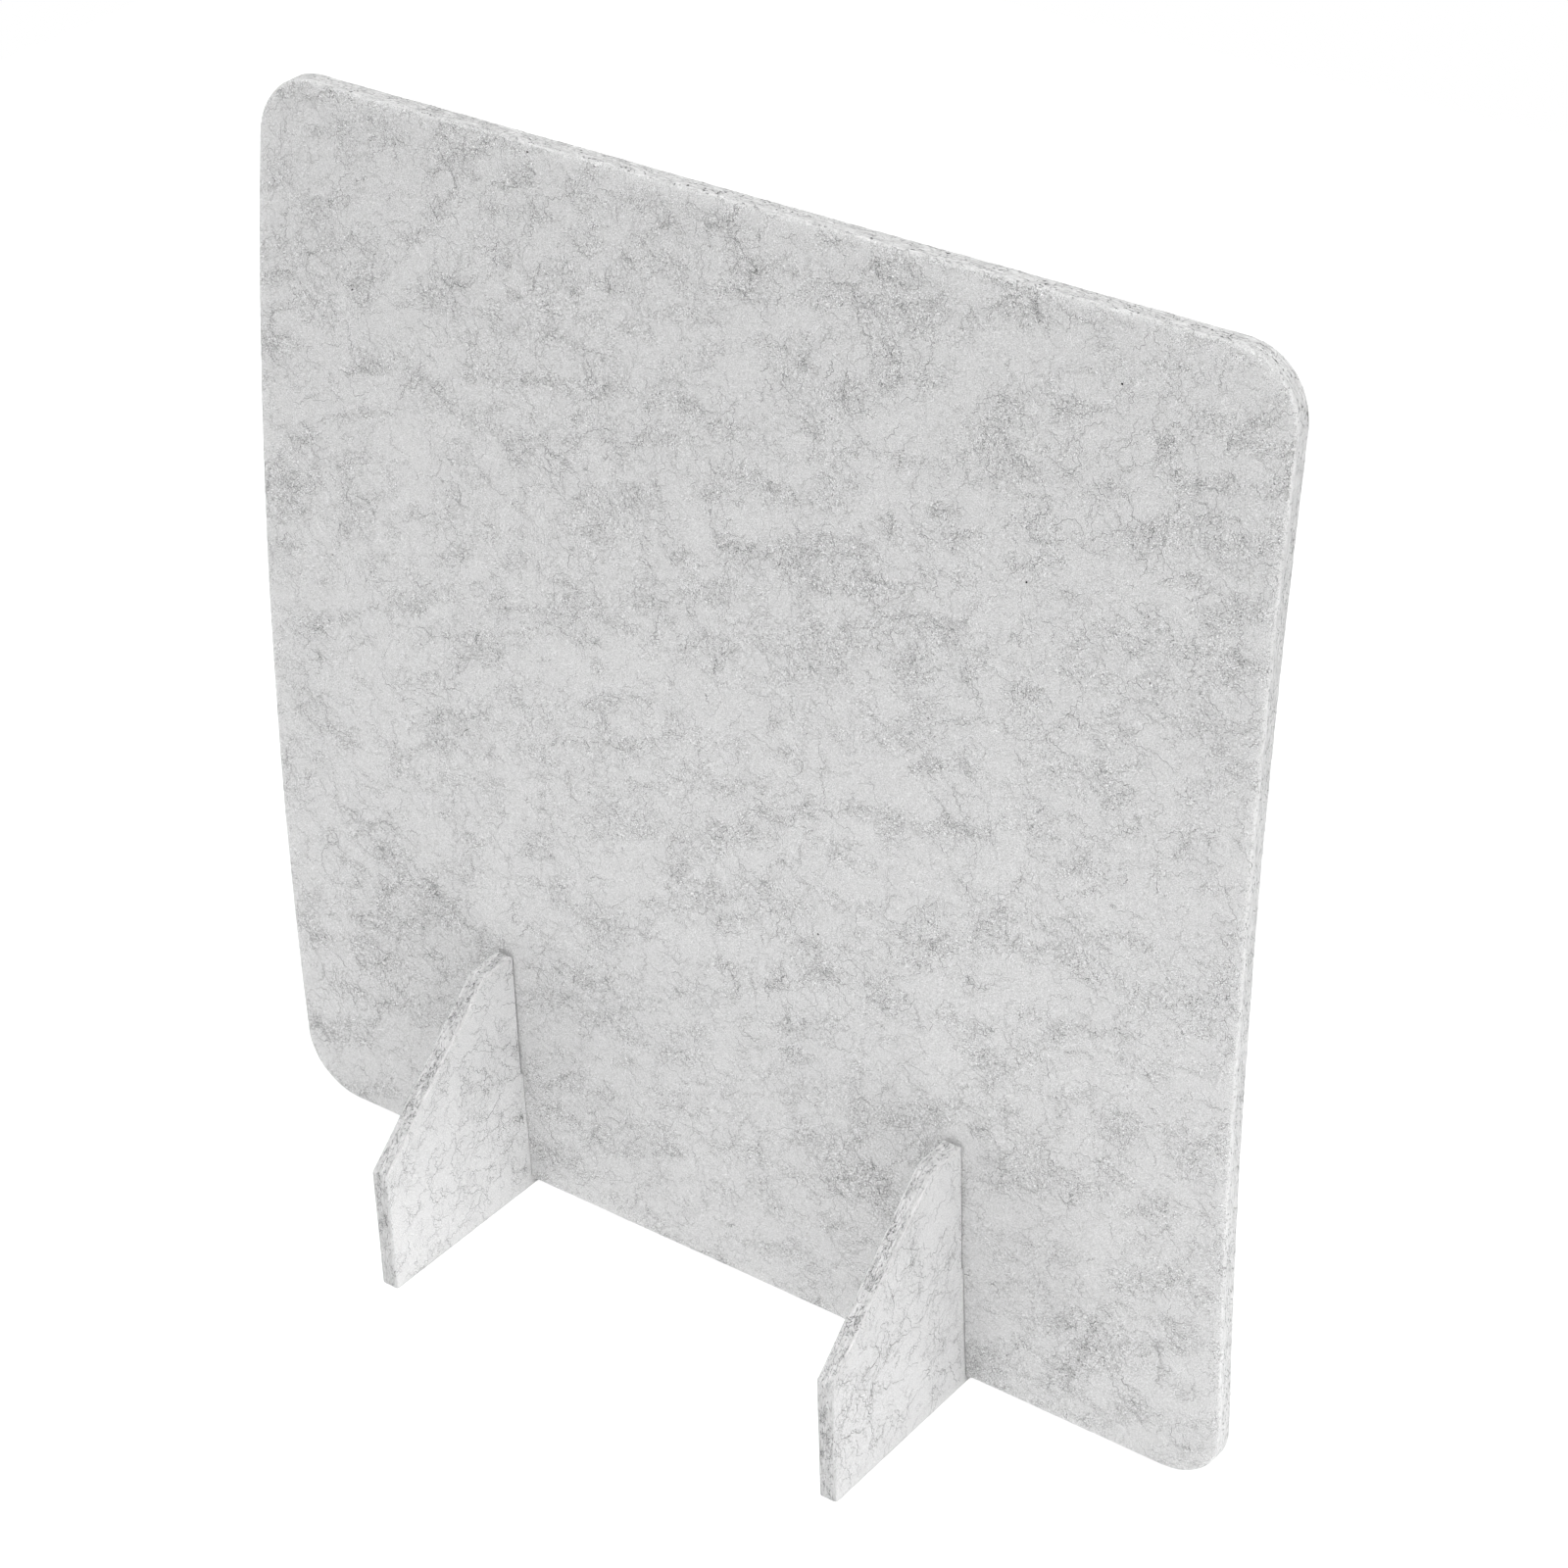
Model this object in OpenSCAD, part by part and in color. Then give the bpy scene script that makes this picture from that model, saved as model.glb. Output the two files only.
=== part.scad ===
// A desk screen cut from one thickness of soft felt board: a square panel with
// rounded corners, and two feet that cross it near its ends. Panel and feet are
// slotted halfway into each other, so each foot pulls straight down and off.
// The felt stands upright in the feet and leans back in a gentle bow above them.
// X runs along the panel, -Y is the front, +Z is up, and the soles lie at Z = 0.

/* [Board] */
// Thickness of the felt that all three pieces are cut from
felt_t = 5; // [3:0.5:9]

/* [Panel] */
// Width of the panel
panel_w = 300; // [240:1:420]
// Height of the panel
panel_h = 298; // [220:1:400]
// Radius of the panel's four corners
corner_r = 17; // [5:0.5:30]
// Height of the panel's bottom edge above the soles
sole_gap = 2.5; // [1:0.5:8]
// Radius of the bow in which the felt leans back
bow_r = 1510; // [1200:10:4000]

/* [Feet] */
// Distance from the middle of the panel to the middle of each foot
foot_x = 72; // [50:1:95]
// Reach of a foot in front of the panel's middle plane, and the same behind it
foot_reach = 57; // [45:1:80]
// Height of a foot at the panel
foot_h = 76; // [60:1:100]
// Height of a foot's upright toe
toe_h = 37; // [15:1:50]
// Length of the flat crown on top of a foot
crown_l = 28; // [20:1:50]
// Radius that rounds the crown into the slope
crown_r = 5; // [2:0.5:10]

/* [Slots] */
// Depth of the slot that runs down from a foot's crown
foot_slot_depth = 38; // [25:1:45]
// Clearance between a foot's face and the wall of the panel's slot
side_clear = 0.2; // [0.1:0.05:0.5]
// Clearance between the bowed panel and the wall of a foot's slot
bow_clear = 0.4; // [0.3:0.05:0.8]

/* [Hidden] */

// The slots' closed ends meet at this height, and the panel rests there on the feet
seat_z = foot_h - foot_slot_depth;
panel_top = sole_gap + panel_h;
// The panel is upright at the middle of the stretch that the feet grip
bow_z = seat_z + foot_slot_depth / 2;
// How far back the bow carries the panel's top edge
bow_back = bow_r - sqrt(pow(bow_r, 2) - pow(panel_top - bow_z, 2));
panel_slot_w = felt_t + 2 * side_clear;
foot_slot_w = felt_t + 2 * bow_clear;
// Slope from the toe up to the crown, and where the crown's rounding meets both
slope_a = atan2(foot_h - toe_h, foot_reach - crown_l / 2);
crown_run = crown_r * tan(slope_a / 2);
crown_y = crown_l / 2 - crown_run;
crown_z = foot_h - crown_r;
// Length by which every cut runs past the felt
overrun = felt_t;

felt_grey = [0.83, 0.83, 0.83];
foot_grey = [0.88, 0.88, 0.88];
bow_fn = 720;
corner_fn = 96;
crown_steps = 10;

// Rounded square of the panel, seen from the front
module panel_outline() {
    for (side = [-1, 1], z = [sole_gap + corner_r, panel_top - corner_r])
        translate([side * (panel_w / 2 - corner_r), z])
            circle(r = corner_r, $fn = corner_fn);
    translate([-panel_w / 2, sole_gap + corner_r])
        square([panel_w, panel_h - 2 * corner_r]);
    translate([-panel_w / 2 + corner_r, sole_gap])
        square([panel_w - 2 * corner_r, panel_h]);
}

// Slots for both feet, open at the panel's bottom edge
module panel_slots() {
    for (side = [-1, 1])
        translate([side * foot_x - panel_slot_w / 2, sole_gap - overrun])
            square([panel_slot_w, seat_z - sole_gap + overrun]);
}

// Shell between two cylinders about one far axis behind the panel
module bowed_sheet() {
    translate([0, bow_r, bow_z])
        rotate([0, 90, 0])
            difference() {
                cylinder(r = bow_r + felt_t / 2, h = panel_w + overrun, center = true, $fn = bow_fn);
                cylinder(r = bow_r - felt_t / 2, h = panel_w + 3 * overrun, center = true, $fn = bow_fn);
            }
}

module panel() {
    color(felt_grey)
        intersection() {
            bowed_sheet();
            translate([0, bow_back + felt_t + overrun, 0])
                rotate([90, 0, 0])
                    linear_extrude(height = bow_back + 2 * felt_t + 2 * overrun)
                        difference() {
                            panel_outline();
                            panel_slots();
                        }
        }
}

// Points of an arc about a centre, by angle from straight up
function arc(centre, r, from, to, steps) = [
    for (i = [0:steps])
        let (a = from + (to - from) * i / steps)
            centre + r * [sin(a), cos(a)]
];

// Trapezoid of a foot, seen from its side, with its crown rounded into both slopes
module foot_outline() {
    polygon(concat(
        [[-foot_reach, 0], [-foot_reach, toe_h]],
        arc([-crown_y, crown_z], crown_r, -slope_a, 0, crown_steps),
        arc([crown_y, crown_z], crown_r, 0, slope_a, crown_steps),
        [[foot_reach, toe_h], [foot_reach, 0]]
    ));
}

// One foot centred on X = 0: the outline's slot takes the panel from above
module foot() {
    color(foot_grey)
        translate([-felt_t / 2, 0, 0])
            rotate([90, 0, 90])
                linear_extrude(height = felt_t)
                    difference() {
                        foot_outline();
                        translate([-foot_slot_w / 2, seat_z])
                            square([foot_slot_w, foot_slot_depth + overrun]);
                    }
}

module left_foot() {
    translate([-foot_x, 0, 0]) foot();
}

module right_foot() {
    translate([foot_x, 0, 0]) foot();
}

panel();
left_foot();
right_foot();
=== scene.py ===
import math
import bpy
import numpy as np
from mathutils import Matrix, Vector
from mathutils.geometry import delaunay_2d_cdt


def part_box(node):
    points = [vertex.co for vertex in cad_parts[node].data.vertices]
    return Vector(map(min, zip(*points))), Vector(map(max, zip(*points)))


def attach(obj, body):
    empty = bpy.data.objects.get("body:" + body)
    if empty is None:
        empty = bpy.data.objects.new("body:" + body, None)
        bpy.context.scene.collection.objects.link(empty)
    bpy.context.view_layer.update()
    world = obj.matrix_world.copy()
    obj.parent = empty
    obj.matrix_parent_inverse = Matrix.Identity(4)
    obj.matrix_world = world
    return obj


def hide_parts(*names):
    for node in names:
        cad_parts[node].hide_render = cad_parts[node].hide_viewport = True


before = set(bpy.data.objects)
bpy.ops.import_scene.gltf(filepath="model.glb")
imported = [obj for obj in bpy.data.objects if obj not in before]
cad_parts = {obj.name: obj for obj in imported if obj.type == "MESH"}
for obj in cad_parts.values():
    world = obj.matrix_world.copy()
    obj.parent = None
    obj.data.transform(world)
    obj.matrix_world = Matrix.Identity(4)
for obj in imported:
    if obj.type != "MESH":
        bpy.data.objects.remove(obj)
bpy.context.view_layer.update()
mm = 0.001

# The photograph's viewpoint, from the lens fitted to the panel's outline and the feet
photoCamera = {
    "place": (0.53177, -0.65282, 0.67493),
    "turnDegrees": 38.037,
    "lookDownDegrees": 31.841,
    "tiltDegrees": -1.864,
    "lensMm": 92.94,
    "sensorMm": 36,
}


def makeCamera(values):
    camera = bpy.data.cameras.new("photoCamera")
    camera.lens = values["lensMm"]
    camera.sensor_width = values["sensorMm"]
    holder = bpy.data.objects.new("photoCamera", camera)
    bpy.context.scene.collection.objects.link(holder)
    turn = Matrix.Rotation(math.radians(values["turnDegrees"]), 4, "Z")
    look = Matrix.Rotation(math.radians(90 - values["lookDownDegrees"]), 4, "X")
    tilt = Matrix.Rotation(math.radians(values["tiltDegrees"]), 4, "Z")
    holder.matrix_world = Matrix.Translation(values["place"]) @ turn @ look @ tilt
    bpy.context.scene.camera = holder


makeCamera(photoCamera)
print("camera placed")


# A node socket that takes part in Python sums; every operator adds one Math node
class Wire:
    def __init__(self, tree, socket=None):
        self.tree = tree
        self.socket = socket

    # Any node: its type, then its settings, then the values or wires of its sockets
    def add(self, kind, settings=None, sockets=None, give=0):
        made = self.tree.nodes.new(kind)
        for name, value in (settings or {}).items():
            setattr(made, name, value)
        for name, value in (sockets or {}).items():
            if isinstance(value, Wire):
                self.tree.links.new(value.socket, made.inputs[name])
            else:
                made.inputs[name].default_value = value
        return Wire(self.tree, made.outputs[give] if len(made.outputs) else None)

    def maths(self, operation, first, second=0.0, clamp=False):
        settings = {"operation": operation, "use_clamp": clamp}
        return self.add("ShaderNodeMath", settings, {0: first, 1: second})

    def __add__(self, other):
        return self.maths("ADD", self, other)

    def __radd__(self, other):
        return self.maths("ADD", other, self)

    def __sub__(self, other):
        return self.maths("SUBTRACT", self, other)

    def __rsub__(self, other):
        return self.maths("SUBTRACT", other, self)

    def __mul__(self, other):
        return self.maths("MULTIPLY", self, other)

    def __rmul__(self, other):
        return self.maths("MULTIPLY", other, self)

    def __pow__(self, other):
        return self.maths("POWER", self, other)

    def __abs__(self):
        return self.maths("ABSOLUTE", self)

    def held(self):
        return self.maths("ADD", self, 0.0, clamp=True)

    # 0 below low, 1 above high, and a smooth step between them
    def step(self, low, high):
        sockets = {"Value": self, "From Min": low, "From Max": high}
        return self.add("ShaderNodeMapRange", {"interpolation_type": "SMOOTHSTEP"}, sockets)

    # A position stretched along x, y and z, then moved
    def stretched(self, factors, shift=(0, 0, 0)):
        grown = self.add("ShaderNodeVectorMath", {"operation": "MULTIPLY"}, {0: self, 1: factors})
        return grown.add("ShaderNodeVectorMath", {"operation": "ADD"}, {0: grown, 1: shift})

    # Noise on a position in millimetres, with waves of about that many millimetres
    def noise(self, waveMm, detail=0.0, roughness=0.5, twist=0.0):
        sockets = {"Vector": self, "Scale": 1 / waveMm, "Detail": detail, "Roughness": roughness}
        sockets["Distortion"] = twist
        return self.add("ShaderNodeTexNoise", {"noise_dimensions": "3D"}, sockets)


def newMaterial(name):
    material = bpy.data.materials.new(name)
    material.use_nodes = True
    material.node_tree.nodes.clear()
    return material, Wire(material.node_tree)


# A broad lamp overhead, whose light also comes back from the pale floor to the panel's foot; one high at
# the side for the feet's right faces; weak ones on both sides of the front, which fill the shadows beside
# the feet; one behind for the back; and a narrow one on the panel's front and the floor before it
studio = {
    "worldTone": 0.03,
    "floorTone": 0.93,
    "floorHalfWidth": 0.8,
    "floorClear": 0.96,
    "floorShadowTone": 0.20,
    "lampAim": (0, 0, 0.14),
    "lampSpreadDegrees": 180,
    "lamps": {
        "overhead": {"place": (0.2, -0.3, 2.4), "size": (2.0, 2.0), "watts": 86.0},
        "right": {"place": (1.9, -1.3, 0.7), "size": (1.4, 1.0), "watts": 3.0},
        "left": {"place": (-1.9, -1.3, 0.7), "size": (1.4, 1.0), "watts": 6.5},
        "side": {"place": (2.0, -0.15, 1.6), "size": (1.2, 1.2), "watts": 11.5},
        "back": {"place": (-0.5, 2.3, 1.2), "size": (2.4, 1.4), "watts": 29.0},
        "front": {
            "place": (0.3, -1.1, 1.6), "size": (1.6, 0.6), "watts": 5.0,
            "aim": (0.25, -0.6, 0), "spreadDegrees": 50,
        },
    },
}


# 1 for rays of the kinds named, and 0 for others
def rayIs(wire, *kinds):
    found = [wire.add("ShaderNodeLightPath", give=f"Is {kind} Ray") for kind in kinds]
    return sum(found[1:], found[0]).held()


# 1 for rays from the camera or off gloss and through glass, which all see a white ground
def seenRay(wire):
    return rayIs(wire, "Camera", "Glossy", "Transmission")


def makeStudio(values):
    world = bpy.data.worlds.new("paleRoom")
    world.use_nodes = True
    world.node_tree.nodes.clear()
    sky = Wire(world.node_tree)
    tone = values["worldTone"]
    room = sky.add("ShaderNodeBackground", None, {"Color": (tone, tone, tone, 1), "Strength": 1.0})
    white = sky.add("ShaderNodeBackground", None, {"Color": (1, 1, 1, 1), "Strength": 1.0})
    both = sky.add("ShaderNodeMixShader", None, {0: seenRay(sky), 1: room, 2: white})
    sky.add("ShaderNodeOutputWorld", None, {"Surface": both})
    bpy.context.scene.world = world

    half = values["floorHalfWidth"]
    mesh = bpy.data.meshes.new("floor")
    corners = [(-half, -half, 0), (half, -half, 0), (half, half, 0), (-half, half, 0)]
    mesh.from_pydata(corners, [], [(0, 1, 2, 3)])
    floor = bpy.data.objects.new("floor", mesh)
    bpy.context.scene.collection.objects.link(floor)
    material, wire = newMaterial("whiteFloor")
    base, shade = values["floorTone"], values["floorShadowTone"]
    plain = wire.add("ShaderNodeBsdfDiffuse", None, {"Color": (base, base, base, 1)})
    # seen, the floor is a clear pane over the white room, with the shadow on it. The lamps' light passes
    # down through it as well, so that a foot pulled down out of the panel can still be seen
    pane = values["floorClear"]
    clear = wire.add("ShaderNodeBsdfTransparent", None, {"Color": (pane, pane, pane, 1)})
    shadow = wire.add("ShaderNodeBsdfDiffuse", None, {"Color": (shade, shade, shade, 1)})
    bright = wire.add("ShaderNodeAddShader", None, {0: clear, 1: shadow})
    solid = wire.add("ShaderNodeMixShader", None, {0: seenRay(wire), 1: plain, 2: bright})
    passing = wire.add("ShaderNodeBsdfTransparent", None, {"Color": (1, 1, 1, 1)})
    shown = wire.add("ShaderNodeMixShader", None, {0: rayIs(wire, "Shadow"), 1: solid, 2: passing})
    wire.add("ShaderNodeOutputMaterial", None, {"Surface": shown})
    mesh.materials.append(material)

    for name, lamp in values["lamps"].items():
        light = bpy.data.lights.new(name, "AREA")
        light.shape = "RECTANGLE"
        light.size, light.size_y = lamp["size"]
        light.spread = math.radians(lamp.get("spreadDegrees", values["lampSpreadDegrees"]))
        light.energy = lamp["watts"]
        holder = bpy.data.objects.new(name, light)
        bpy.context.scene.collection.objects.link(holder)
        holder.location = lamp["place"]
        holder.rotation_mode = "QUATERNION"
        aim = Vector(lamp.get("aim", values["lampAim"]))
        holder.rotation_quaternion = (aim - Vector(lamp["place"])).to_track_quat("-Z", "Y")


makeStudio(studio)
bpy.context.scene.view_settings.view_transform = "Standard"
print("studio set")


# The felt's finish on the panel, and on the feet, whose faces are smoother and whose cuts are darker. The
# feet's faces are partly paler felt and partly painted light, for the light that falls on them; the
# panel's cuts are painted paler, for light that its side cuts lack; and cuts that face up get painted
# shade. Tones are linear, and shades are shares of them
panelFinish = {
    "faceTone": 0.602,
    # the cuts' tone is raised as painted light, for the light that the panel's side cuts lack; the next
    # value paints shade on cuts that face up
    "edgeTone": 0.78,
    "paintedUpShade": 0.44,
    "rimTone": 0.60,
    # a painted highlight on the face near the outline: its strength, and its reach in mm
    "paintedRimHighlight": 0.13,
    "paintedRimHighlightMm": 1.5,
    "cloudShade": 0.06,
    "darkThread": 0.32,
    "paleThread": 0.58,
    "shadeThread": 0.60,
    "fuzzShade": 1.0,
    "streaks": 0.8,
    "roughness": 0.95,
    "sheen": 0.12,
    "sheenRoughness": 0.5,
    "reliefMm": 0.14,
}
footFinish = {
    **panelFinish,
    # partly paler felt, and partly painted light for the light on the feet's faces
    "faceTone": 0.743,
    "edgeTone": 0.54,
    "paintedUpShade": 0.17,
    "rimTone": 0.68,
    "paintedRimHighlight": 0.0,
    "darkThread": 0.24,
    "paleThread": 0.26,
    "shadeThread": 0.28,
    "fuzzShade": 0.9,
    "streaks": 0.9,
}

# How the felt's finer detail is drawn, the same on all pieces: waves in millimetres, widths and ranges as
# parts of a noise that runs from 0 to 1, and shares of light or of height
grain = {
    "clusterStretch": (0.75, 1, 1),
    "clusterWaveMm": 2.4,
    "clusterDetail": (2.0, 0.6),
    "clusterBreak": 1.3,
    "clusterRange": (0.15, 1.0),
    "threadDetail": (1.0, 0.6, 0.7),
    "darkWaveMm": 1.0,
    "darkWidth": 0.050,
    "paleWaveMm": 0.5,
    "paleWidth": 0.055,
    "paleShift": (31, 7, 13),
    "shadeOffset": 0.07,
    "threadsBetween": 0.35,
    "fuzzWaveMm": 0.18,
    "fuzzTwist": 0.6,
    "layerStretch": (0.30, 2.4, 0.30),
    "layerShift": (5, 5, 5),
    "layerWaveMm": 1.3,
    "layerDetail": (2.0, 0.65, 0.6),
    "endStretch": (0.8, 1.7, 0.8),
    "endShift": (9, 2, 7),
    "endWaveMm": 0.75,
    "endDetail": (1.0, 0.6),
    "endRange": (0.56, 0.70),
    "endShade": 0.15,
    "clumpStretch": (0.5, 1, 0.5),
    "clumpWaveMm": 2.6,
    "clumpRange": (0.38, 0.66),
    "clumpShade": 0.45,
    "cutFuzz": 0.35,
    "rimRange": (0.38, 0.62),
    "rimSharpness": 3,
    "blueShare": 0.998,
    "fuzzHeight": 0.8,
    "threadHeight": 0.3,
    "layerHeight": 1.2,
    "endDepth": 0.6,
    "specular": 0.15,
}
metresToMm = (1000, 1000, 1000)


def makeFelt(name, values):
    material, wire = newMaterial(name)
    place = wire.add("ShaderNodeAttribute", {"attribute_name": "feltPlace"}, give="Vector")
    place = place.stretched(metresToMm)
    cut = wire.add("ShaderNodeAttribute", {"attribute_name": "cutEdge"}, give="Fac")
    upward = wire.add("ShaderNodeAttribute", {"attribute_name": "upward"}, give="Fac")
    cloud = wire.add("ShaderNodeAttribute", {"attribute_name": "cloud"}, give="Fac")
    insetMm = wire.add("ShaderNodeAttribute", {"attribute_name": "insetMm"}, give="Fac")

    # clusters of dark fibre, broken up below the mesh's own fineness
    broken = place.stretched(grain["clusterStretch"])
    broken = broken.noise(grain["clusterWaveMm"], *grain["clusterDetail"])
    dense = (cloud + (broken - 0.5) * grain["clusterBreak"]).step(*grain["clusterRange"])

    # where a twisted noise passes through one half it draws thin curly strings: dark ones, and pale ones
    # with a shaded side, all of them stronger in the clusters
    tangle = abs(place.noise(grain["darkWaveMm"], *grain["threadDetail"]) - 0.5)
    webbing = place.stretched((1, 1, 1), grain["paleShift"])
    webbing = webbing.noise(grain["paleWaveMm"], *grain["threadDetail"]) - 0.5
    darkThreads = 1 - tangle.step(0.0, grain["darkWidth"])
    paleThreads = 1 - abs(webbing).step(0.0, grain["paleWidth"])
    shadeThreads = 1 - abs(webbing + grain["shadeOffset"]).step(0.0, grain["paleWidth"])
    relief = paleThreads * values["paleThread"] - shadeThreads * values["shadeThread"]
    fuzz = place.noise(grain["fuzzWaveMm"], twist=grain["fuzzTwist"]) - 0.5
    busy = dense * (1 - grain["threadsBetween"]) + grain["threadsBetween"]
    face = 1 - dense * values["cloudShade"] - darkThreads * busy * values["darkThread"]
    face = face + relief * busy + fuzz * values["fuzzShade"]

    # painted highlight: the face is painted paler near the outline, by e ^ (-distance inside it / reach)
    rimHighlight = wire.maths("EXPONENT", insetMm * (-1 / values["paintedRimHighlightMm"]))
    face = face * (1 + rimHighlight * values["paintedRimHighlight"])

    # the cut shows the board's layers end on: short streaks along the edge, and dark ends of fibres in
    # clumps. A cut that faces up gets painted shade, darker the more it faces up
    layered = place.stretched(grain["layerStretch"], grain["layerShift"])
    streaks = layered.noise(grain["layerWaveMm"], *grain["layerDetail"]) - 0.5
    ends = place.stretched(grain["endStretch"], grain["endShift"])
    ends = ends.noise(grain["endWaveMm"], *grain["endDetail"]).step(*grain["endRange"])
    clumps = place.stretched(grain["clumpStretch"])
    clumps = clumps.noise(grain["clumpWaveMm"], *grain["endDetail"]).step(*grain["clumpRange"])
    section = 1 + streaks * values["streaks"] - ends * (clumps * grain["clumpShade"] + grain["endShade"])
    section = section + fuzz * grain["cutFuzz"] - upward * values["paintedUpShade"]

    # 1 halfway round the rim, where cut is one half, and 0 on face and cut
    rim = (cut * (1 - cut) * 4) ** grain["rimSharpness"] * broken.step(*grain["rimRange"])
    level = face * (1 - cut) * values["faceTone"] + section * cut * values["edgeTone"]
    level = level + rim * (values["rimTone"] - values["faceTone"])
    colour = wire.add("ShaderNodeCombineColor", None, {0: level, 1: level, 2: level * grain["blueShare"]})

    height = fuzz * grain["fuzzHeight"] + paleThreads * grain["threadHeight"]
    height = height + (streaks * grain["layerHeight"] - ends * grain["endDepth"]) * cut
    bumpSockets = {"Height": height, "Strength": 1.0, "Distance": values["reliefMm"] * mm}
    bump = wire.add("ShaderNodeBump", None, bumpSockets)
    shader = wire.add("ShaderNodeBsdfPrincipled", None, {
        "Base Color": colour,
        "Roughness": values["roughness"],
        "Specular IOR Level": grain["specular"],
        "Sheen Weight": values["sheen"],
        "Sheen Roughness": values["sheenRoughness"],
        "Normal": bump,
    })
    wire.add("ShaderNodeOutputMaterial", None, {"Surface": shader})
    return material


# Each fibre has one tone between the darkest and the palest of its kind, with a weak mottle along it
fibreFinish = {"mottleWaveMm": 0.8, "mottle": 0.06, "roughness": 0.85, "specular": 0.2}
fibreTones = {"darkFibre": (0.02, 0.20), "footDarkFibre": (0.02, 0.22), "paleFibre": (0.78, 0.95)}


def makeFibreFinish(name, darkest, palest):
    material, wire = newMaterial(name)
    shade = wire.add("ShaderNodeAttribute", {"attribute_name": "shade"}, give="Fac")
    place = wire.add("ShaderNodeTexCoord", give="Object").stretched(metresToMm)
    mottle = (place.noise(fibreFinish["mottleWaveMm"]) - 0.5) * fibreFinish["mottle"]
    level = darkest + shade * (palest - darkest) + mottle
    colour = wire.add("ShaderNodeCombineColor", None, {0: level, 1: level, 2: level})
    shader = wire.add("ShaderNodeBsdfPrincipled", None, {
        "Base Color": colour,
        "Roughness": fibreFinish["roughness"],
        "Specular IOR Level": fibreFinish["specular"],
    })
    wire.add("ShaderNodeOutputMaterial", None, {"Surface": shader})
    return material


panelFelt = makeFelt("panelNeedledFelt", panelFinish)
footFelt = makeFelt("footNeedledFelt", footFinish)
darkFibre, footFibre, paleFibre = (makeFibreFinish(name, *tones) for name, tones in fibreTones.items())
print("felt finishes made")


# The net of soft noise starts anew after some cells, and its shift keeps that seam off the felt's middle
noiseNet = {"cells": 256, "shift": (91.3, 57.7)}


# Random heights on a square net, turned by some degrees, with a smooth step between them: 0 to 1
def softNoise(along, up, cell, seed, degrees=0.0):
    cells, shift = noiseNet["cells"], noiseNet["shift"]
    heights = np.random.default_rng(seed).random((cells + 1, cells + 1))
    c, s = math.cos(math.radians(degrees)), math.sin(math.radians(degrees))
    x, y = (along * c - up * s) / cell + shift[0], (along * s + up * c) / cell + shift[1]
    i, j = np.floor(x).astype(int), np.floor(y).astype(int)
    u, v = x - i, y - j
    u, v = u * u * (3 - 2 * u), v * v * (3 - 2 * v)
    i, j = i % cells, j % cells
    low = heights[i, j] * (1 - u) + heights[i + 1, j] * u
    high = heights[i, j + 1] * (1 - u) + heights[i + 1, j + 1] * u
    return low * (1 - v) + high * v


# The clusters' soft noise in four sizes: cell, turn in degrees, weight
clouds = {
    "layers": ((12 * mm, 12, 0.06), (6.0 * mm, 37, 0.28), (3.2 * mm, 61, 0.42), (1.7 * mm, 23, 0.26)),
    "weightSum": 1.02,
    "contrast": 2.6,
    "level": 0.42,
}


# Clusters of dark fibre, 0 to 1: the weighted sum of the sizes, drawn out along a slant to the board
def cloudField(along, up, seed, values):
    slant = math.radians(values["cloudSlantDegrees"])
    c, s = math.cos(slant), math.sin(slant)
    a, b = (along * c + up * s) / values["cloudStretch"], up * c - along * s
    total = 0
    for step, (cell, degrees, weight) in enumerate(clouds["layers"]):
        total = total + softNoise(a, b, cell, seed + step, degrees) * weight
    return np.clip((total / clouds["weightSum"] - 0.5) * clouds["contrast"] + clouds["level"], 0, 1)


# A closed outline from its corners: straight runs, and an arc of each corner's own radius between them
def roundedOutline(corners, radii, step):
    corners, radii = np.array(corners, float), np.array(radii, float)
    before = corners - np.roll(corners, 1, 0)
    before = before / np.linalg.norm(before, axis=1)[:, None]
    after = np.roll(before, -1, 0)
    turn = np.arctan2(before[:, 0] * after[:, 1] - before[:, 1] * after[:, 0], (before * after).sum(1))
    reach = (radii * np.abs(np.tan(turn / 2)))[:, None]
    starts, ends = corners - before * reach, corners + after * reach
    runs = []
    for k, (start, end, following) in enumerate(zip(starts, ends, np.roll(starts, -1, 0))):
        side = math.copysign(1, turn[k])
        spoke = side * radii[k] * np.array([before[k, 1], -before[k, 0]])
        count = max(4, math.ceil(radii[k] * abs(turn[k]) / step)) + 1
        sweep = np.linspace(0, turn[k], count)[:, None]
        sideways = np.array([-spoke[1], spoke[0]])
        runs.append(start - spoke + spoke * np.cos(sweep) + sideways * np.sin(sweep))
        straight = following - end
        pieces = max(1, round(float(np.linalg.norm(straight)) / step))
        runs.append(end + straight * np.linspace(0, 1, pieces + 1)[1:-1, None])
    return np.concatenate(runs)


# Unit vectors that point out of the felt at each point of an outline that runs anticlockwise
def outwardOf(outline):
    tangent = np.roll(outline, -1, 0) - np.roll(outline, 1, 0)
    tangent = tangent / np.linalg.norm(tangent, axis=1)[:, None]
    return np.stack([tangent[:, 1], -tangent[:, 0]], 1)


# True where a point lies inside the closed outline: a line drawn to the right crosses it an odd number of
# times. The points are worked through in groups, to spare memory
def insideOutline(points, outline, groupSize=1500):
    following = np.roll(outline, -1, 0)
    found = []
    for group in np.array_split(points, max(1, len(points) // groupSize)):
        x, y = group[:, :1], group[:, 1:]
        spans = (outline[:, 1] > y) != (following[:, 1] > y)
        rise = np.where(following[:, 1] == outline[:, 1], 1, following[:, 1] - outline[:, 1])
        cross = outline[:, 0] + (y - outline[:, 1]) / rise * (following[:, 0] - outline[:, 0])
        found.append(((spans & (x < cross)).sum(1) % 2) == 1)
    return np.concatenate(found)


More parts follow.
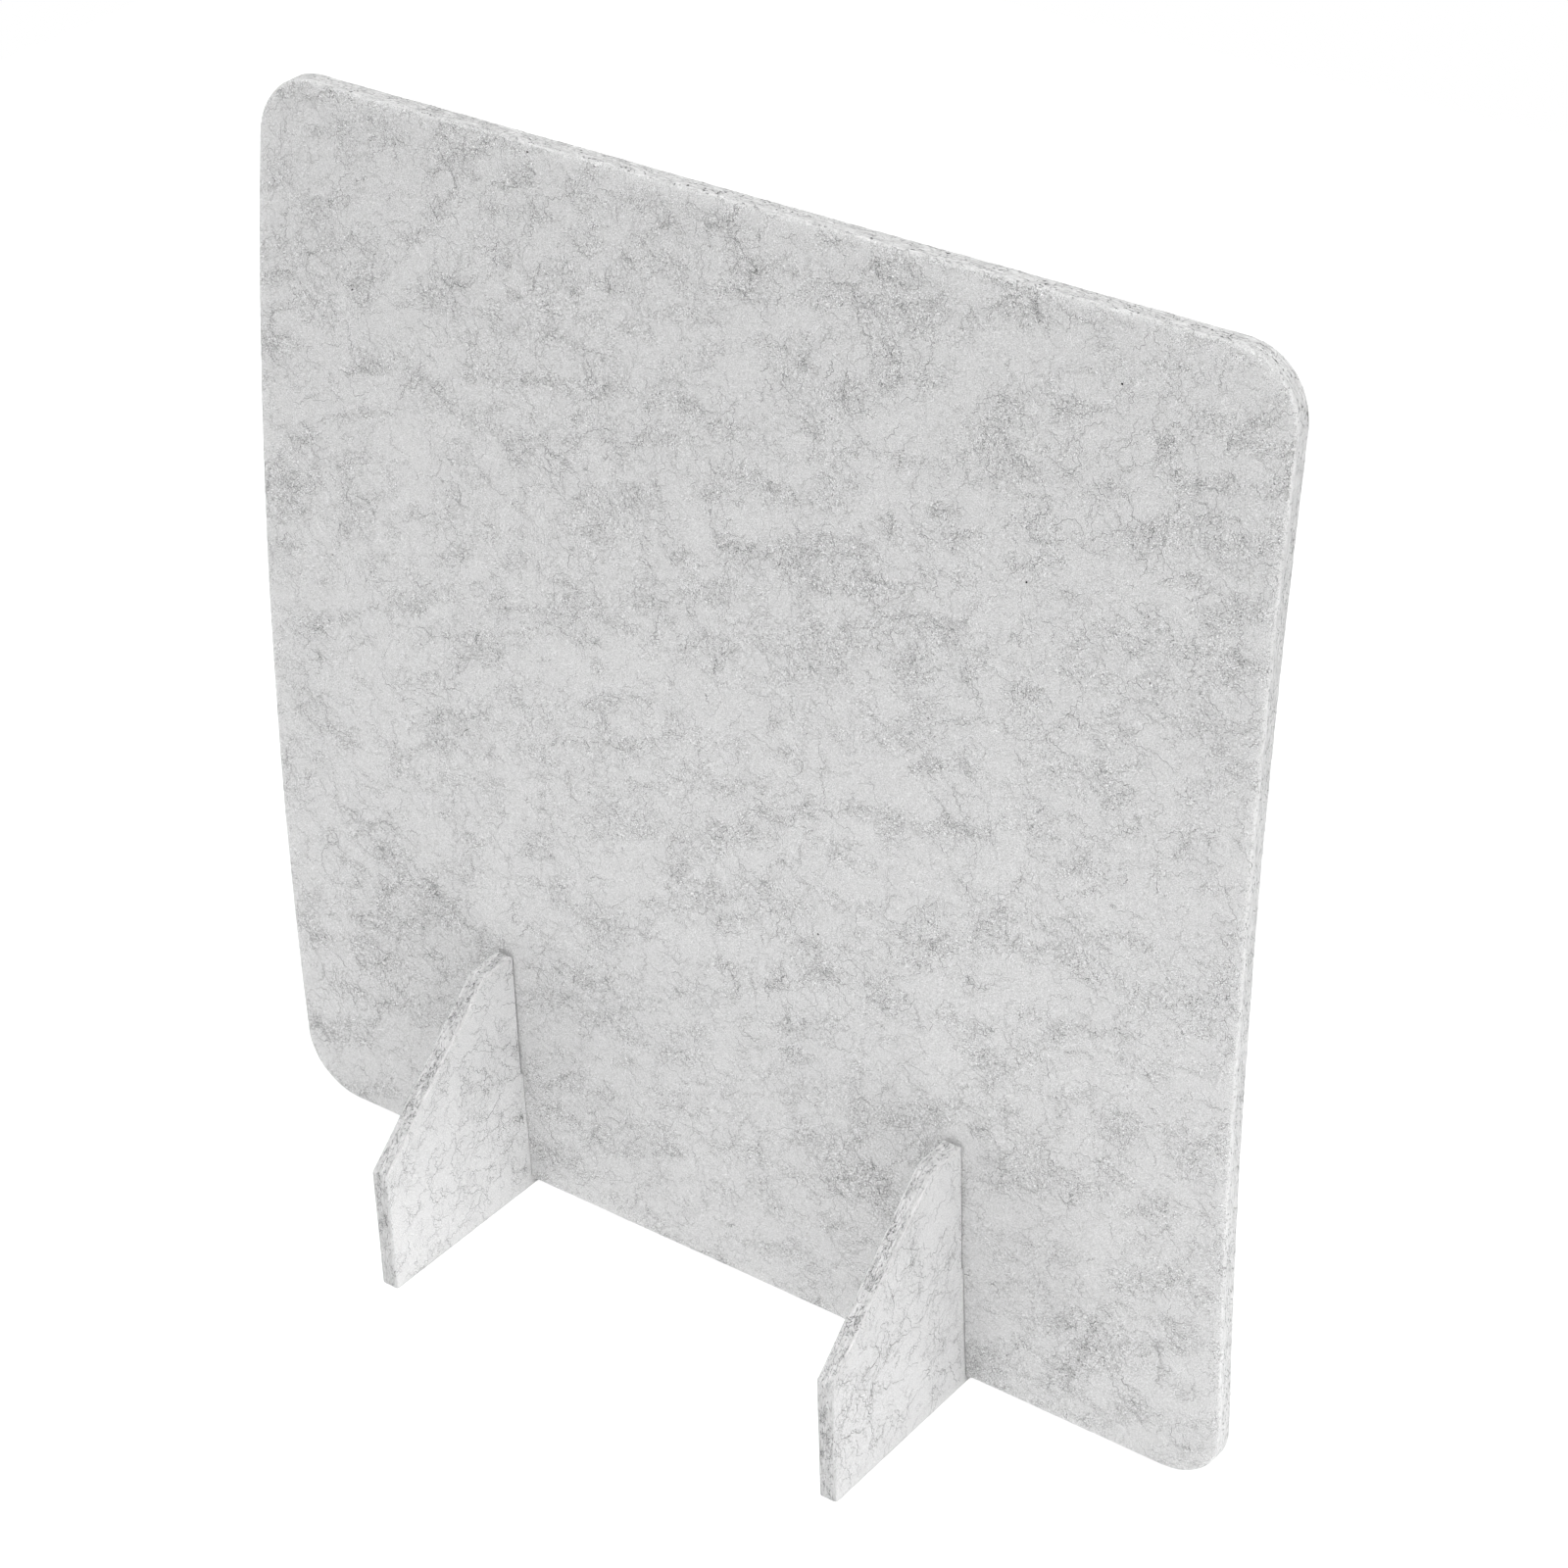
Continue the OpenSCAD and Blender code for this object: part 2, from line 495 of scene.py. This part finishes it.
def meshPiece(name, points, faces, material):
    mesh = bpy.data.meshes.new(name)
    mesh.from_pydata(points.tolist(), [], faces)
    mesh.materials.append(material)
    mesh.shade_smooth()
    mesh.update()
    piece = bpy.data.objects.new(name, mesh)
    bpy.context.scene.collection.objects.link(piece)
    return piece


# One number or vector for each point, which the piece's material reads
def addNumbers(piece, name, values):
    kind, field = ("FLOAT_VECTOR", "vector") if values.ndim == 2 else ("FLOAT", "value")
    attribute = piece.data.attributes.new(name, kind, "POINT")
    attribute.data.foreach_set(field, values.astype(np.float32).ravel())


# What every board shares: its rim rolls from face to cut as a quarter of a rounded square, its cut is
# rough in two sizes, less so on the rim, and its faces wave together. The seeds are added to the board's
# own, and grainShift is the distance by which each seed moves the finish
boardShape = {
    "rounding": 2.3,
    "rimRings": 6,
    "cutRings": 4,
    "rollEase": 3 * mm,
    "roughness": 0.16 * mm,
    "roughLevel": 0.9,
    "roughFade": 1.6,
    "fineCell": 1.1 * mm,
    "fineStretch": 1.5,
    "fineSeed": 40,
    "coarseCell": 4 * mm,
    "coarseWeight": 0.8,
    "coarseSeed": 41,
    "waveCell": 34 * mm,
    "waveDegrees": 20,
    "waveSeed": 50,
    "gridMarginShare": 0.4,
    "upwardPower": 0.5,
    "grainShift": (0.05, 0, 0.03),
}


# How far the skin has rolled down at a distance inside the outline, for a roll of that radius
def rollDrop(inner, roll):
    fall = np.clip(1 - inner / roll, 0, 1) ** boardShape["rounding"]
    return roll * (1 - (1 - fall) ** (1 / boardShape["rounding"]))


# The rim is soft all round, and sharp where the felt of two pieces meets in their slots
def softRoll(gap, values):
    ease = np.clip(gap / boardShape["rollEase"], 0, 1)
    return values["slotRoll"] + (values["rimRoll"] - values["slotRoll"]) * ease * ease * (3 - 2 * ease)


# A board isn't quite flat: both faces wave together, by half of the board's wave to either side
def boardWave(along, up, values):
    cell, seed = boardShape["waveCell"], values["seed"] + boardShape["waveSeed"]
    return (softNoise(along, up, cell, seed, boardShape["waveDegrees"]) - 0.5) * values["wave"]


# A board of felt: rings = outline - outward x inset run from the front face over the rim and the cut to
# the back face, and each face inside the last ring is a net of triangles on a square grid
def feltBoard(name, outline, values, place, insetOf, rollOf, cloudOf, material):
    half, seed, gridStep = values["halfThick"], values["seed"], values["gridStep"]
    outward = outwardOf(outline)
    roll = rollOf(outline[:, 0], outline[:, 1])[None, :]
    angle = np.linspace(math.pi / 2, 0, boardShape["rimRings"])
    power = 2 / boardShape["rounding"]
    share = 1 - np.cos(angle) ** power
    drop = 1 - np.sin(angle) ** power
    share = np.concatenate([share, np.zeros(boardShape["cutRings"]), share[::-1]])[:, None]
    turned = np.linspace(1, -1, boardShape["cutRings"] + 2)[1:-1, None] * (half - roll)
    rise = np.concatenate([half - roll * drop[:, None], turned, roll * drop[::-1, None] - half])
    lengths = np.linalg.norm(np.roll(outline, -1, 0) - outline, axis=1)
    along = np.concatenate([[0], np.cumsum(lengths)[:-1]])[None, :]
    fineSeed, coarseSeed = seed + boardShape["fineSeed"], seed + boardShape["coarseSeed"]
    fine = softNoise(along, rise * boardShape["fineStretch"], boardShape["fineCell"], fineSeed)
    coarse = softNoise(along, rise, boardShape["coarseCell"], coarseSeed)
    rough = fine + coarse * boardShape["coarseWeight"] - boardShape["roughLevel"]
    fade = np.clip(1 - share * boardShape["roughFade"], 0, 1)
    inset = roll * share - rough * boardShape["roughness"] * fade
    rings = outline[None, :, :] - outward[None, :, :] * inset[:, :, None]

    # grid points that lie well inside the face's last ring, joined with it into triangles
    edge = rings[0]
    first, last = edge.min(0), edge.max(0)
    a = np.arange(first[0] + gridStep / 2, last[0], gridStep)
    b = np.arange(first[1] + gridStep / 2, last[1], gridStep)
    net = np.stack(np.meshgrid(a, b), 2).reshape(-1, 2)
    net = net[insideOutline(net, edge - outward * gridStep * boardShape["gridMarginShare"])]
    flat = np.concatenate([edge, net])
    ringSize, faceSize = len(edge), len(flat)
    corners = [Vector(point) for point in flat / mm]
    insideOnly, tolerance = 1, 1e-5
    made = delaunay_2d_cdt(corners, [], [list(range(ringSize))], insideOnly, tolerance)
    origin = np.array([ids[0] if ids else -1 for ids in made[3]])
    triangles = origin[np.array([face for face in made[2] if len(face) == 3])]
    triangles = triangles[(triangles >= 0).all(1)]

    # points: the front face, the back face, then the rings between them
    flatAll = np.concatenate([flat, flat, rings[1:-1].reshape(-1, 2)])
    riseAll = np.concatenate([np.full(faceSize, half), np.full(faceSize, -half), rise[1:-1].ravel()])
    number = np.arange(len(rise) * ringSize).reshape(len(rise), ringSize) + 2 * faceSize - ringSize
    number[0] = np.arange(ringSize)
    number[-1] = np.arange(ringSize) + faceSize
    near, far = number[:-1], number[1:]
    quads = np.stack([near, far, np.roll(far, -1, 1), np.roll(near, -1, 1)], 2).reshape(-1, 4)
    faces = triangles.tolist() + (triangles[:, ::-1] + faceSize).tolist() + quads.tolist()
    wave = boardWave(flatAll[:, 0], flatAll[:, 1], values)
    piece = meshPiece(name, place(flatAll[:, 0], flatAll[:, 1], riseAll + wave), faces, material)

    cut = np.repeat(1 - share[1:-1, 0], ringSize)
    spot = np.stack([flatAll[:, 0], riseAll, flatAll[:, 1]], 1)
    spot = spot[:, ::-1] if values["grainUp"] else spot
    addNumbers(piece, "feltPlace", spot + seed * np.array(boardShape["grainShift"]))
    addNumbers(piece, "cutEdge", np.concatenate([np.zeros(2 * faceSize), cut]))
    # how far a cut faces up, which the felt's material darkens as painted shade
    upward = np.clip(outward[:, 1], 0, 1)[None, :] * (1 - share[1:-1]) ** boardShape["upwardPower"]
    addNumbers(piece, "upward", np.concatenate([np.zeros(2 * faceSize), upward.ravel()]))
    addNumbers(piece, "cloud", cloudOf(flatAll[:, 0], flatAll[:, 1]))
    addNumbers(piece, "insetMm", np.maximum(insetOf(flatAll[:, 0], flatAll[:, 1]), 0) / mm)
    return piece


# What all fibres share: places tried for each, how their ends taper, and how near the outline they stop
ribbonShape = {
    "tries": 10,
    "tipStart": 0.3,
    "tipSpan": 0.4,
    "taperPower": 0.4,
    "margin": 0.10 * mm,
}


# Curly staple fibres in the skin of a surface with two distances, along and up, and a height outwards.
# Each is a flat ribbon of short steps: its heading swings to and fro with the crimp and wanders, it
# tapers at both ends, and it sinks into the felt and comes up again. Points, faces and shades come back
def curlyRibbons(values, count, area, densityOf, insetOf, skinOf, place, seed, side=1):
    rng = np.random.default_rng(seed)
    low, high = np.array(area)
    tries = rng.random((count * ribbonShape["tries"], 2)) * (high - low) + low
    dense = densityOf(tries[:, 0], tries[:, 1]) ** values["gather"]
    want = values["loose"] + (1 - values["loose"]) * dense
    start = tries[rng.random(len(tries)) < want][:count]
    n, steps = len(start), values["steps"]

    def between(name):
        return rng.uniform(*values[name], (n, 1))

    t = np.arange(steps)[None, :] * between("step")
    heading = values["heading"] + rng.normal(0, values["spread"], (n, 1))
    heading = heading + rng.choice([0, math.pi], (n, 1))
    crimp = between("crimp") * np.sin(2 * math.pi * (t / between("crimpLength") + rng.random((n, 1))))
    wander = np.cumsum(rng.normal(0, values["jitter"], (n, steps)), 1)
    wander = wander + rng.normal(0, values["bend"], (n, 1)) * t
    turn = heading + crimp + wander
    stride = np.diff(t, axis=1, prepend=0)
    a = start[:, :1] + np.cumsum(np.cos(turn) * stride, 1)
    b = start[:, 1:] + np.cumsum(np.sin(turn) * stride, 1)
    phase = math.pi * (np.arange(steps) + ribbonShape["tipStart"]) / (steps - ribbonShape["tipSpan"])
    taper = np.clip(np.sin(phase), 0, 1) ** ribbonShape["taperPower"]
    edge = between("width") / 2 * taper[None, :]
    edges = np.stack([-edge, edge], 2)
    pa = a[:, :, None] - np.sin(turn)[:, :, None] * edges
    pb = b[:, :, None] + np.cos(turn)[:, :, None] * edges
    sink = np.sin(2 * math.pi * (t / between("sinkLength") + rng.random((n, 1))))
    lift = values["proud"] * (values["afloat"] + sink)
    inner = insetOf(pa, pb)
    height = side * (skinOf(pa, pb, inner) + lift[:, :, None])
    points = place(pa.ravel(), pb.ravel(), height.ravel())
    number = np.arange(n * steps * 2).reshape(n, steps, 2)
    quads = np.stack([number[:, :-1, 0], number[:, 1:, 0], number[:, 1:, 1], number[:, :-1, 1]], 2)
    shown = (inner > ribbonShape["margin"]).all(2)
    quads = quads[shown[:, :-1] & shown[:, 1:]]
    shade = rng.random((n, 1)) ** values["darkness"] * np.ones((1, steps))
    return points, quads if side > 0 else quads[:, ::-1], np.repeat(shade.ravel(), 2)


# Several lots of ribbons as one mesh, without the points that no face uses
def fibrePiece(name, parts, material):
    starts = np.cumsum([0] + [len(part[0]) for part in parts])
    points = np.concatenate([part[0] for part in parts])
    quads = np.concatenate([part[1] + start for part, start in zip(parts, starts)])
    shades = np.concatenate([part[2] for part in parts])
    keep, index = np.unique(quads, return_inverse=True)
    piece = meshPiece(name, points[keep], index.reshape(quads.shape).tolist(), material)
    addNumbers(piece, "shade", shades[keep])
    return piece


# Ribbons on both faces of a board, which follow its wave and roll down with its rim
def faceFibres(values, counts, area, board, place, insetOf, rollOf, cloudOf, seed):
    made = []
    for side, count in zip((1, -1), counts):
        def skin(a, b, inner, side=side):
            return board["halfThick"] - rollDrop(inner, rollOf(a, b)) + side * boardWave(a, b, board)

        made.append(curlyRibbons(values, count, area, cloudOf, insetOf, skin, place, seed + side, side))
    return made


# Where the ribbons on a cut gather: two sizes of soft noise, each with its cell, weight and added seed
dashClumps = ((9 * mm, 0.6, 5), (3 * mm, 0.5, 6))


# Ribbons on a board's cut: along is the distance round the outline, up is the height between the faces
def cutFibres(values, count, outline, board, place, seed):
    outward = outwardOf(outline)
    closed = np.concatenate([outline, outline[:1]])
    normals = np.concatenate([outward, outward[:1]])
    reached = np.concatenate([[0], np.cumsum(np.linalg.norm(np.diff(closed, axis=0), axis=1))])
    whole = reached[-1]

    def cutPlace(along, up, height):
        s = along % whole
        spot = [np.interp(s, reached, closed[:, k]) for k in (0, 1)]
        way = [np.interp(s, reached, normals[:, k]) for k in (0, 1)]
        return place(spot[0] + way[0] * height, spot[1] + way[1] * height, up)

    def cutInset(along, up):
        return board["halfThick"] - board["cutMargin"] - np.abs(up)

    def level(a, b, inner):
        return a * 0

    def density(a, b):
        return sum(softNoise(a, b, cell, seed + added) * weight for cell, weight, added in dashClumps)

    area = [[0, -board["halfThick"]], [whole, board["halfThick"]]]
    return [curlyRibbons(values, count, area, density, cutInset, level, cutPlace, seed)]


# Fibres as they lie on a face: short and crowded in the clusters, tangled between them, and long ones
# alone. Loose is the share that lies anywhere, and gather how sharply the others keep to the clusters.
# Heading, spread, crimp and jitter are in radians, and bend in radians a metre. A fibre's middle height
# is proud x afloat, and the higher its darkness, the darker most of its kind are
clusterCurls = {
    "steps": 12,
    "step": (0.28 * mm, 0.48 * mm),
    "width": (0.040 * mm, 0.090 * mm),
    "loose": 0.05,
    "gather": 2.0,
    "heading": 0.35,
    "spread": 1.3,
    "crimp": (0.6, 1.5),
    "crimpLength": (1.3 * mm, 2.6 * mm),
    "jitter": 0.36,
    "bend": 130,
    "proud": 0.03 * mm,
    "afloat": 1.0,
    "sinkLength": (3 * mm, 9 * mm),
    "darkness": 0.8,
}
tangleCurls = {
    **clusterCurls,
    "steps": 22,
    "step": (0.30 * mm, 0.48 * mm),
    "loose": 0.20,
    "gather": 1.3,
    "crimp": (0.6, 1.4),
    "crimpLength": (1.4 * mm, 3.0 * mm),
    "jitter": 0.34,
    "bend": 100,
    "afloat": 1.1,
    "sinkLength": (4 * mm, 12 * mm),
    "darkness": 0.7,
}
longCurls = {
    **clusterCurls,
    "steps": 34,
    "step": (0.32 * mm, 0.50 * mm),
    "width": (0.040 * mm, 0.095 * mm),
    "loose": 0.30,
    "gather": 1.0,
    "crimp": (0.5, 1.3),
    "crimpLength": (1.6 * mm, 3.6 * mm),
    "jitter": 0.30,
    "bend": 70,
    "afloat": 1.2,
    "sinkLength": (5 * mm, 15 * mm),
    "darkness": 0.6,
}
boldCurls = {**clusterCurls, "steps": 16, "width": (0.075 * mm, 0.135 * mm), "loose": 0.12, "gather": 2.6}
paleCurls = {**clusterCurls, "loose": 0.35, "gather": 0.8}

# Short dark dashes along the cut
cutDashes = {
    **clusterCurls,
    "steps": 9,
    "step": (0.09 * mm, 0.28 * mm),
    "width": (0.05 * mm, 0.12 * mm),
    "loose": 0.08,
    "gather": 1.6,
    "heading": 0.0,
    "spread": 0.40,
    "crimp": (0.2, 1.0),
    "crimpLength": (0.8 * mm, 2.0 * mm),
    "jitter": 0.25,
    "bend": 0,
    "proud": 0.05 * mm,
    "afloat": 1.1,
    "sinkLength": (2 * mm, 5 * mm),
}


# The panel: upright where the feet grip it, and above them a bow about one level axis far behind it
panelLow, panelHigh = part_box("panel")
footLow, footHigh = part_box("right_foot")
panelBoard = {
    "seed": 3,
    "halfThick": (footHigh.x - footLow.x) / 2,
    "cornerRadius": 17 * mm,
    "bowRadius": 1510 * mm,
    "bowHeight": 57 * mm,
    "footPlace": (footHigh.x + footLow.x) / 2,
    "slotWidth": 5.4 * mm,
    "slotTop": 38 * mm,
    "slotMouthRadius": 0.6 * mm,
    "slotEndRadius": 0.4 * mm,
    "rimRoll": 0.9 * mm,
    "slotRoll": 0.25 * mm,
    "cutMargin": 0.7 * mm,
    "outlineStep": 1.0 * mm,
    "gridStep": 2.0 * mm,
    "wave": 0.3 * mm,
    "cloudSeed": 5,
    "cloudStretch": 2.4,
    "cloudSlantDegrees": 20,
    "grainUp": False,
}


# On a cylinder of the bow's radius plus the height in front: x = along,
# y = bow radius - root((bow radius + height)^2 - (up - bow height)^2), z = up
def panelPlace(along, up, height):
    radius = panelBoard["bowRadius"]
    back = radius - np.sqrt((radius + height) ** 2 - (up - panelBoard["bowHeight"]) ** 2)
    return np.stack([along, back, up], 1)


# Anticlockwise from the lower left corner, with four corners for each slot
def panelOutline(values):
    left, right, low, high = panelLow.x, panelHigh.x, panelLow.z, panelHigh.z
    half, top = values["slotWidth"] / 2, values["slotTop"]
    mouth, end = values["slotMouthRadius"], values["slotEndRadius"]
    corners, radii = [(left, low)], [values["cornerRadius"]]
    for middle in (-values["footPlace"], values["footPlace"]):
        near, far = middle - half, middle + half
        corners += [(near, low), (near, top), (far, top), (far, low)]
        radii += [mouth, end, end, mouth]
    corners += [(right, low), (right, high), (left, high)]
    radii += [values["cornerRadius"]] * 3
    return roundedOutline(corners, radii, values["outlineStep"])


# Distance outside the panel's two slots
def panelSlotGap(along, up):
    beside = np.abs(np.abs(along) - panelBoard["footPlace"]) - panelBoard["slotWidth"] / 2
    return np.maximum(beside, up - panelBoard["slotTop"])


# Distance inside the panel's outline, a box with round corners
def panelBoxInset(along, up):
    r = panelBoard["cornerRadius"]
    x = np.abs(along) - (panelHigh.x - r)
    z = np.abs(up - (panelLow.z + panelHigh.z) / 2) - ((panelHigh.z - panelLow.z) / 2 - r)
    return r - np.hypot(np.maximum(x, 0), np.maximum(z, 0)) - np.minimum(np.maximum(x, z), 0)


# The same, less the two slots
def panelInset(along, up):
    return np.minimum(panelBoxInset(along, up), panelSlotGap(along, up))


def panelRoll(along, up):
    return softRoll(panelSlotGap(along, up), panelBoard)


def panelCloud(along, up):
    return cloudField(along, up, panelBoard["cloudSeed"], panelBoard)


panelEdge = panelOutline(panelBoard)
panelParts = (panelPlace, panelBoxInset, panelRoll, panelCloud)
panel = feltBoard("feltPanel", panelEdge, panelBoard, *panelParts, panelFelt)
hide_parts("panel")
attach(panel, "panel")
print("panel made", len(panel.data.polygons))

# The panel's fibres: name, kind, counts on front and back, or one count on the cut, seed and finish
panelArea = [[panelLow.x, panelLow.z], [panelHigh.x, panelHigh.z]]
panelSkin = (panelPlace, panelInset, panelRoll, panelCloud)
fibrePlan = (
    ("panelClusterCurls", clusterCurls, (3900, 0), 11, darkFibre),
    ("panelBoldCurls", boldCurls, (800, 700), 19, darkFibre),
    ("panelTangleCurls", tangleCurls, (3400, 0), 12, darkFibre),
    ("panelLongCurls", longCurls, (2500, 0), 13, darkFibre),
    ("panelPaleCurls", paleCurls, (3600, 0), 17, paleFibre),
    ("panelBackClusters", clusterCurls, (0, 3900), 16, darkFibre),
    ("panelBackTangle", tangleCurls, (0, 3600), 15, darkFibre),
    ("panelBackLongCurls", longCurls, (0, 1900), 18, darkFibre),
    ("panelCutDashes", cutDashes, 2300, 14, darkFibre),
)
for label, kind, counts, seed, finish in fibrePlan:
    if kind is cutDashes:
        parts = cutFibres(kind, counts, panelEdge, panelBoard, panelPlace, seed)
    else:
        parts = faceFibres(kind, counts, panelArea, panelBoard, *panelSkin, seed)
    curls = fibrePiece(label, parts, finish)
    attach(curls, "panel")
    print(label, len(curls.data.polygons))

# A few dark specks caught in the felt, as small flat flakes: places in mm on the front face, and on the
# top cut
specks = {
    "seed": 51,
    "radius": (0.22 * mm, 0.34 * mm),
    "corners": 7,
    "proud": 0.07 * mm,
    "onFace": ((-63, 298.2), (106, 284.5), (86, 232.5), (-118, 251), (31, 121)),
    "onTop": ((-11, 0.9), (10, 1.4), (130, 0.6)),
}


# Ragged polygons round their middles; the top cut's lie in the plane of along and height
def speckFlakes(values):
    rng = np.random.default_rng(values["seed"])
    parts = []
    for onTop, spots in ((False, values["onFace"]), (True, values["onTop"])):
        middle = np.array(spots) * mm
        turn = np.linspace(0, 2 * math.pi, values["corners"], endpoint=False)[None, :]
        reach = rng.uniform(*values["radius"], (len(middle), values["corners"]))
        a = middle[:, :1] + reach * np.cos(turn)
        b = middle[:, 1:] + reach * np.sin(turn)
        if onTop:
            points = panelPlace(a.ravel(), np.full(a.size, panelHigh.z + values["proud"]), b.ravel())
        else:
            skin = panelBoard["halfThick"] - rollDrop(panelInset(a, b), panelRoll(a, b))
            skin = skin + boardWave(a, b, panelBoard) + values["proud"]
            points = panelPlace(a.ravel(), b.ravel(), skin.ravel())
        number = np.arange(a.size).reshape(a.shape)
        parts.append((points, number[:, ::-1] if onTop else number, np.zeros(a.size)))
    return parts


flakes = fibrePiece("panelSpecks", speckFlakes(specks), darkFibre)
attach(flakes, "panel")
print("specks made", len(flakes.data.polygons))

# The feet: trapezoids with a slot down from the crown, cut from the same board
footBoard = {
    "halfThick": panelBoard["halfThick"],
    "reach": footHigh.y,
    "height": footHigh.z,
    "toeHeight": 37 * mm,
    "crownHalf": 14 * mm,
    "crownRadius": 5 * mm,
    "toeRadius": 0.9 * mm,
    "slotWidth": 5.4 * mm,
    "slotBottom": 38 * mm,
    "slotMouthRadius": 0.6 * mm,
    "slotEndRadius": 0.4 * mm,
    "rimRoll": 0.5 * mm,
    "slotRoll": 0.2 * mm,
    "cutMargin": 0.4 * mm,
    "outlineStep": 0.6 * mm,
    "gridStep": 1.3 * mm,
    "wave": 0.15 * mm,
    "cloudShare": 0.6,
    "cloudStretch": 1.7,
    "cloudSlantDegrees": 5,
    "grainUp": True,
}


# Anticlockwise: the sole, one side from its toe to the slot's end, and the other side as its mirror
def footOutline(values):
    reach, high, toe, crown = (values[key] for key in ("reach", "height", "toeHeight", "crownHalf"))
    half, bottom = values["slotWidth"] / 2, values["slotBottom"]
    side = [(reach, toe), (crown, high), (half, high), (half, bottom)]
    turns = [values[key] for key in ("toeRadius", "crownRadius", "slotMouthRadius", "slotEndRadius")]
    corners = [(-reach, 0), (reach, 0)] + side + [(-along, up) for along, up in side[::-1]]
    radii = [values["toeRadius"]] * 2 + turns + turns[::-1]
    return roundedOutline(corners, radii, values["outlineStep"])


# Distance outside the foot's slot
def footSlotGap(along, up):
    return np.maximum(np.abs(along) - footBoard["slotWidth"] / 2, footBoard["slotBottom"] - up)


# Distance inside the foot's outline: nearest of its straight sides and the strip that the panel crosses
def footInset(along, up):
    reach, high, toe, crown = (footBoard[k] for k in ("reach", "height", "toeHeight", "crownHalf"))
    y = np.abs(along)
    length = math.hypot(high - toe, reach - crown)
    slope = -((y - reach) * (high - toe) + (up - toe) * (reach - crown)) / length
    return np.minimum.reduce([reach - y, up, slope, high - up, y - footBoard["slotWidth"] / 2])


def footRoll(along, up):
    return softRoll(footSlotGap(along, up), footBoard)


# A foot's fibres run mostly upwards
footCurls = {**clusterCurls, "heading": math.pi / 2, "spread": 0.8, "gather": 1.4}
footTangle = {**tangleCurls, "heading": math.pi / 2, "spread": 0.8, "width": (0.05 * mm, 0.12 * mm)}
footLongCurls = {**longCurls, "heading": math.pi / 2, "spread": 0.6, "width": (0.05 * mm, 0.13 * mm)}
footDashes = {**cutDashes, "width": (0.05 * mm, 0.13 * mm), "gather": 2.0, "loose": 0.06}

# Kind, count on each face and added seed, and the same for the cut
footPlan = ((footCurls, 340, 0), (footTangle, 460, 9), (footLongCurls, 240, 3))
footCutPlan = (footDashes, 3200, 7)
footArea = [[-footBoard["reach"], 0], [footBoard["reach"], footBoard["height"]]]
for label, body, side, seed in (("Left", "left_foot", -1, 21), ("Right", "right_foot", 1, 34)):
    middle = side * panelBoard["footPlace"]
    board = {**footBoard, "seed": seed}

    # A foot's board stands across the panel: x = its place + height, y = along, z = up
    def footPlace(along, up, height, middle=middle):
        return np.stack([middle + height, along, up], 1)

    def footCloud(along, up, seed=seed):
        return cloudField(up, along, seed, footBoard) * footBoard["cloudShare"]

    footEdge = footOutline(board)
    footParts = (footPlace, footInset, footRoll, footCloud)
    foot = feltBoard(f"felt{label}Foot", footEdge, board, *footParts, footFelt)
    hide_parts(body)
    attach(foot, body)
    parts = []
    for kind, count, added in footPlan:
        parts += faceFibres(kind, (count, count), footArea, board, *footParts, seed + added)
    kind, count, added = footCutPlan
    parts += cutFibres(kind, count, footEdge, board, footPlace, seed + added)
    curls = fibrePiece(f"{label.lower()}FootCurls", parts, footFibre)
    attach(curls, body)
    print(label, "foot made", len(foot.data.polygons), len(curls.data.polygons))
